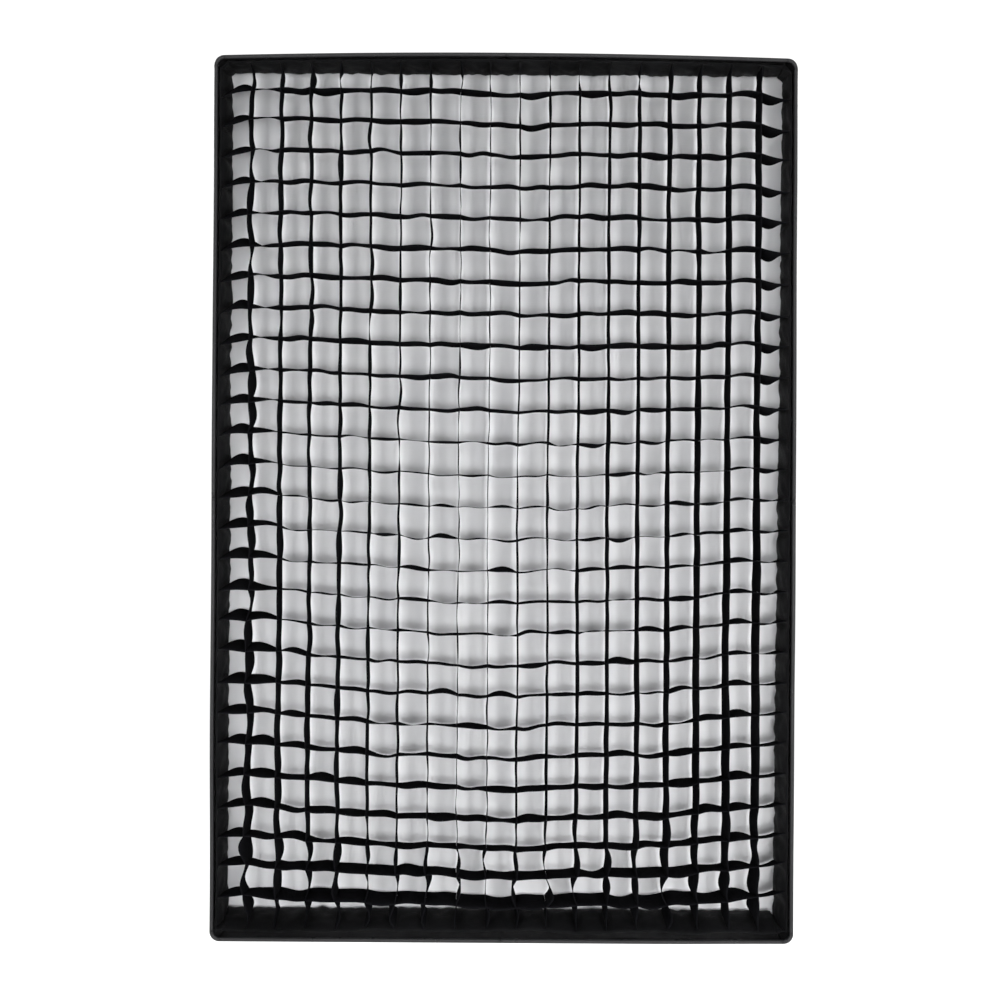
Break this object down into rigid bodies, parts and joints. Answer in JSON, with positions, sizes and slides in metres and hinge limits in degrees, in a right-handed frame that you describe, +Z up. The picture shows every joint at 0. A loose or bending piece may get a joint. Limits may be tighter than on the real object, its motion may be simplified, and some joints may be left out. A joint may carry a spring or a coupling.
{
  "type": "rectangular softbox with grid",
  "caption": "Folding rectangular studio softbox with white front diffuser, fabric eggcrate grid and turning bayonet ring for a studio light.",
  "frame": {"origin": "centre of the adapter's bore, on the seat that meets the light", "axes": "+Z up along the long side, +X right seen from the front, +Y back towards the light"},
  "size_m": [0.8, 0.4865, 1.212],
  "materials": {
    "cast_metal": "black powder coat on cast aluminium",
    "glide_plastic": "low friction plastic, off-white",
    "zinc_steel": "zinc plated steel",
    "black_steel": "black painted pressed steel",
    "rod_steel": "sprung steel wire rod",
    "tip_plastic": "moulded cap",
    "knob_rubber": "fluted moulded knob",
    "black_nylon": "black woven nylon with piping",
    "shell_cloth": "black woven nylon outside, silver lining inside",
    "diffusion_cloth": "thin white diffusion cloth",
    "hook_tape": "black hook and loop tape",
    "grid_cloth": "matt black woven cloth"
  },
  "bodies": {
    "adapter": {"mount_adapter": "cast_metal"},
    "speedring": {"ring_body": "cast_metal", "glide_ring": "glide_plastic", "retaining_ring": "cast_metal", "retaining_screws": "zinc_steel", "rod_brackets": "black_steel", "bracket_screws": "zinc_steel", "hinge_pins": "zinc_steel", "rear_cuff": "black_nylon", "inner_baffle": "diffusion_cloth", "baffle_tabs": "hook_tape"},
    "pad": {"lock_pad": "glide_plastic"},
    "knob": {"lock_knob": "knob_rubber", "lock_screw": "zinc_steel"},
    "rod_upper_right_arm": {"rod_holder_upper_right": "black_steel", "rod_upper_right": "rod_steel", "rod_tip_upper_right": "tip_plastic", "rod_pocket_upper_right": "black_nylon", "lip_corner_upper_right": "black_nylon"},
    "flap_top_right": {"panel_top_right": "shell_cloth", "lip_top_right": "black_nylon"},
    "flap_right_upper": {"panel_right_upper": "shell_cloth", "lip_right_upper": "black_nylon"},
    "rod_upper_left_arm": {"rod_holder_upper_left": "black_steel", "rod_upper_left": "rod_steel", "rod_tip_upper_left": "tip_plastic", "rod_pocket_upper_left": "black_nylon", "lip_corner_upper_left": "black_nylon"},
    "flap_top_left": {"panel_top_left": "shell_cloth", "lip_top_left": "black_nylon"},
    "flap_left_upper": {"panel_left_upper": "shell_cloth", "lip_left_upper": "black_nylon"},
    "rod_lower_left_arm": {"rod_holder_lower_left": "black_steel", "rod_lower_left": "rod_steel", "rod_tip_lower_left": "tip_plastic", "rod_pocket_lower_left": "black_nylon", "lip_corner_lower_left": "black_nylon"},
    "flap_bottom_left": {"panel_bottom_left": "shell_cloth", "lip_bottom_left": "black_nylon"},
    "flap_left_lower": {"panel_left_lower": "shell_cloth", "lip_left_lower": "black_nylon"},
    "rod_lower_right_arm": {"rod_holder_lower_right": "black_steel", "rod_lower_right": "rod_steel", "rod_tip_lower_right": "tip_plastic", "rod_pocket_lower_right": "black_nylon", "lip_corner_lower_right": "black_nylon"},
    "flap_bottom_right": {"panel_bottom_right": "shell_cloth", "lip_bottom_right": "black_nylon"},
    "flap_right_lower": {"panel_right_lower": "shell_cloth", "lip_right_lower": "black_nylon"},
    "diffuser": {"front_diffuser": "diffusion_cloth", "diffuser_tape": "hook_tape"},
    "grid": {"grid_border": "grid_cloth", "grid_vertical_strips": "grid_cloth", "grid_horizontal_strips": "grid_cloth"}
  },
  "joints": [
    {"name": "softbox_rotation", "type": "hinge", "parent": "adapter", "child": "speedring", "pos_m": [0, 0, 0], "axis": [0, 1, 0], "continuous": true},
    {"name": "lock_pad_travel", "type": "slide", "parent": "speedring", "child": "pad", "axis": [1, 0, 0], "range_m": [0, 0.002]},
    {"name": "lock_knob_turn", "type": "hinge", "parent": "pad", "child": "knob", "pos_m": [0.095, -0.0075, 0], "axis": [1, 0, 0], "range_deg": [0, 720]},
    {"name": "fold", "type": "hinge", "parent": "speedring", "child": "rod_upper_right_arm", "pos_m": [0.04072, -0.033, 0.06179], "axis": [0.835, 0, -0.5502], "range_deg": [0, 50], "deforming": ["rear_cuff", "inner_baffle", "baffle_tabs", "front_diffuser", "diffuser_tape", "grid_border", "grid_vertical_strips", "grid_horizontal_strips", "panel_top_right", "lip_top_right", "panel_right_upper", "lip_right_upper", "lip_corner_upper_right", "rod_pocket_upper_right", "panel_top_left", "lip_top_left", "panel_left_upper", "lip_left_upper", "lip_corner_upper_left", "rod_pocket_upper_left", "panel_bottom_left", "lip_bottom_left", "panel_left_lower", "lip_left_lower", "lip_corner_lower_left", "rod_pocket_lower_left", "panel_bottom_right", "lip_bottom_right", "panel_right_lower", "lip_right_lower", "lip_corner_lower_right", "rod_pocket_lower_right"]},
    {"name": "flap_top_right_seam", "type": "hinge", "parent": "rod_upper_right_arm", "child": "flap_top_right", "pos_m": [0.398, -0.4, 0.604], "axis": [-0.4545, 0.511, -0.7296], "range_deg": [0, 59]},
    {"name": "flap_right_upper_seam", "type": "hinge", "parent": "rod_upper_right_arm", "child": "flap_right_upper", "pos_m": [0.398, -0.4, 0.604], "axis": [0.4545, -0.511, 0.7296], "range_deg": [0, 56.9]},
    {"name": "rod_fold_upper_left", "type": "hinge", "parent": "speedring", "child": "rod_upper_left_arm", "pos_m": [-0.04072, -0.033, 0.06179], "axis": [0.835, 0, 0.5502], "range_deg": [0, 50]},
    {"name": "flap_top_left_seam", "type": "hinge", "parent": "rod_upper_left_arm", "child": "flap_top_left", "pos_m": [-0.398, -0.4, 0.604], "axis": [-0.4545, -0.511, 0.7296], "range_deg": [0, 59]},
    {"name": "flap_left_upper_seam", "type": "hinge", "parent": "rod_upper_left_arm", "child": "flap_left_upper", "pos_m": [-0.398, -0.4, 0.604], "axis": [0.4545, 0.511, -0.7296], "range_deg": [0, 56.9]},
    {"name": "rod_fold_lower_left", "type": "hinge", "parent": "speedring", "child": "rod_lower_left_arm", "pos_m": [-0.04072, -0.033, -0.06179], "axis": [-0.835, 0, 0.5502], "range_deg": [0, 50]},
    {"name": "flap_bottom_left_seam", "type": "hinge", "parent": "rod_lower_left_arm", "child": "flap_bottom_left", "pos_m": [-0.398, -0.4, -0.604], "axis": [0.4545, 0.511, 0.7296], "range_deg": [0, 59]},
    {"name": "flap_left_lower_seam", "type": "hinge", "parent": "rod_lower_left_arm", "child": "flap_left_lower", "pos_m": [-0.398, -0.4, -0.604], "axis": [-0.4545, -0.511, -0.7296], "range_deg": [0, 56.9]},
    {"name": "rod_fold_lower_right", "type": "hinge", "parent": "speedring", "child": "rod_lower_right_arm", "pos_m": [0.04072, -0.033, -0.06179], "axis": [-0.835, 0, -0.5502], "range_deg": [0, 50]},
    {"name": "flap_bottom_right_seam", "type": "hinge", "parent": "rod_lower_right_arm", "child": "flap_bottom_right", "pos_m": [0.398, -0.4, -0.604], "axis": [0.4545, -0.511, -0.7296], "range_deg": [0, 59]},
    {"name": "flap_right_lower_seam", "type": "hinge", "parent": "rod_lower_right_arm", "child": "flap_right_lower", "pos_m": [0.398, -0.4, -0.604], "axis": [-0.4545, 0.511, 0.7296], "range_deg": [0, 56.9]},
    {"name": "grid_pull_off", "type": "slide", "parent": "speedring", "child": "grid", "axis": [0, -1, 0], "range_m": [0, 0.3]},
    {"name": "diffuser_pull_off", "type": "slide", "parent": "speedring", "child": "diffuser", "axis": [0, -1, 0], "range_m": [0, 0.15]}
  ],
  "couplings": [
    {"joint": "lock_knob_turn", "follows": "lock_pad_travel", "rad_per_m": 6283.2},
    {"joint": "flap_top_right_seam", "follows": "fold", "ratio": 1.1698},
    {"joint": "flap_right_upper_seam", "follows": "fold", "ratio": 1.1285},
    {"joint": "rod_fold_upper_left", "follows": "fold", "ratio": 1},
    {"joint": "flap_top_left_seam", "follows": "fold", "ratio": 1.1698},
    {"joint": "flap_left_upper_seam", "follows": "fold", "ratio": 1.1285},
    {"joint": "rod_fold_lower_left", "follows": "fold", "ratio": 1},
    {"joint": "flap_bottom_left_seam", "follows": "fold", "ratio": 1.1698},
    {"joint": "flap_left_lower_seam", "follows": "fold", "ratio": 1.1285},
    {"joint": "rod_fold_lower_right", "follows": "fold", "ratio": 1},
    {"joint": "flap_bottom_right_seam", "follows": "fold", "ratio": 1.1698},
    {"joint": "flap_right_lower_seam", "follows": "fold", "ratio": 1.1285},
    {"joint": "diffuser_pull_off", "follows": "grid_pull_off", "ratio": 0.5}
  ]
}
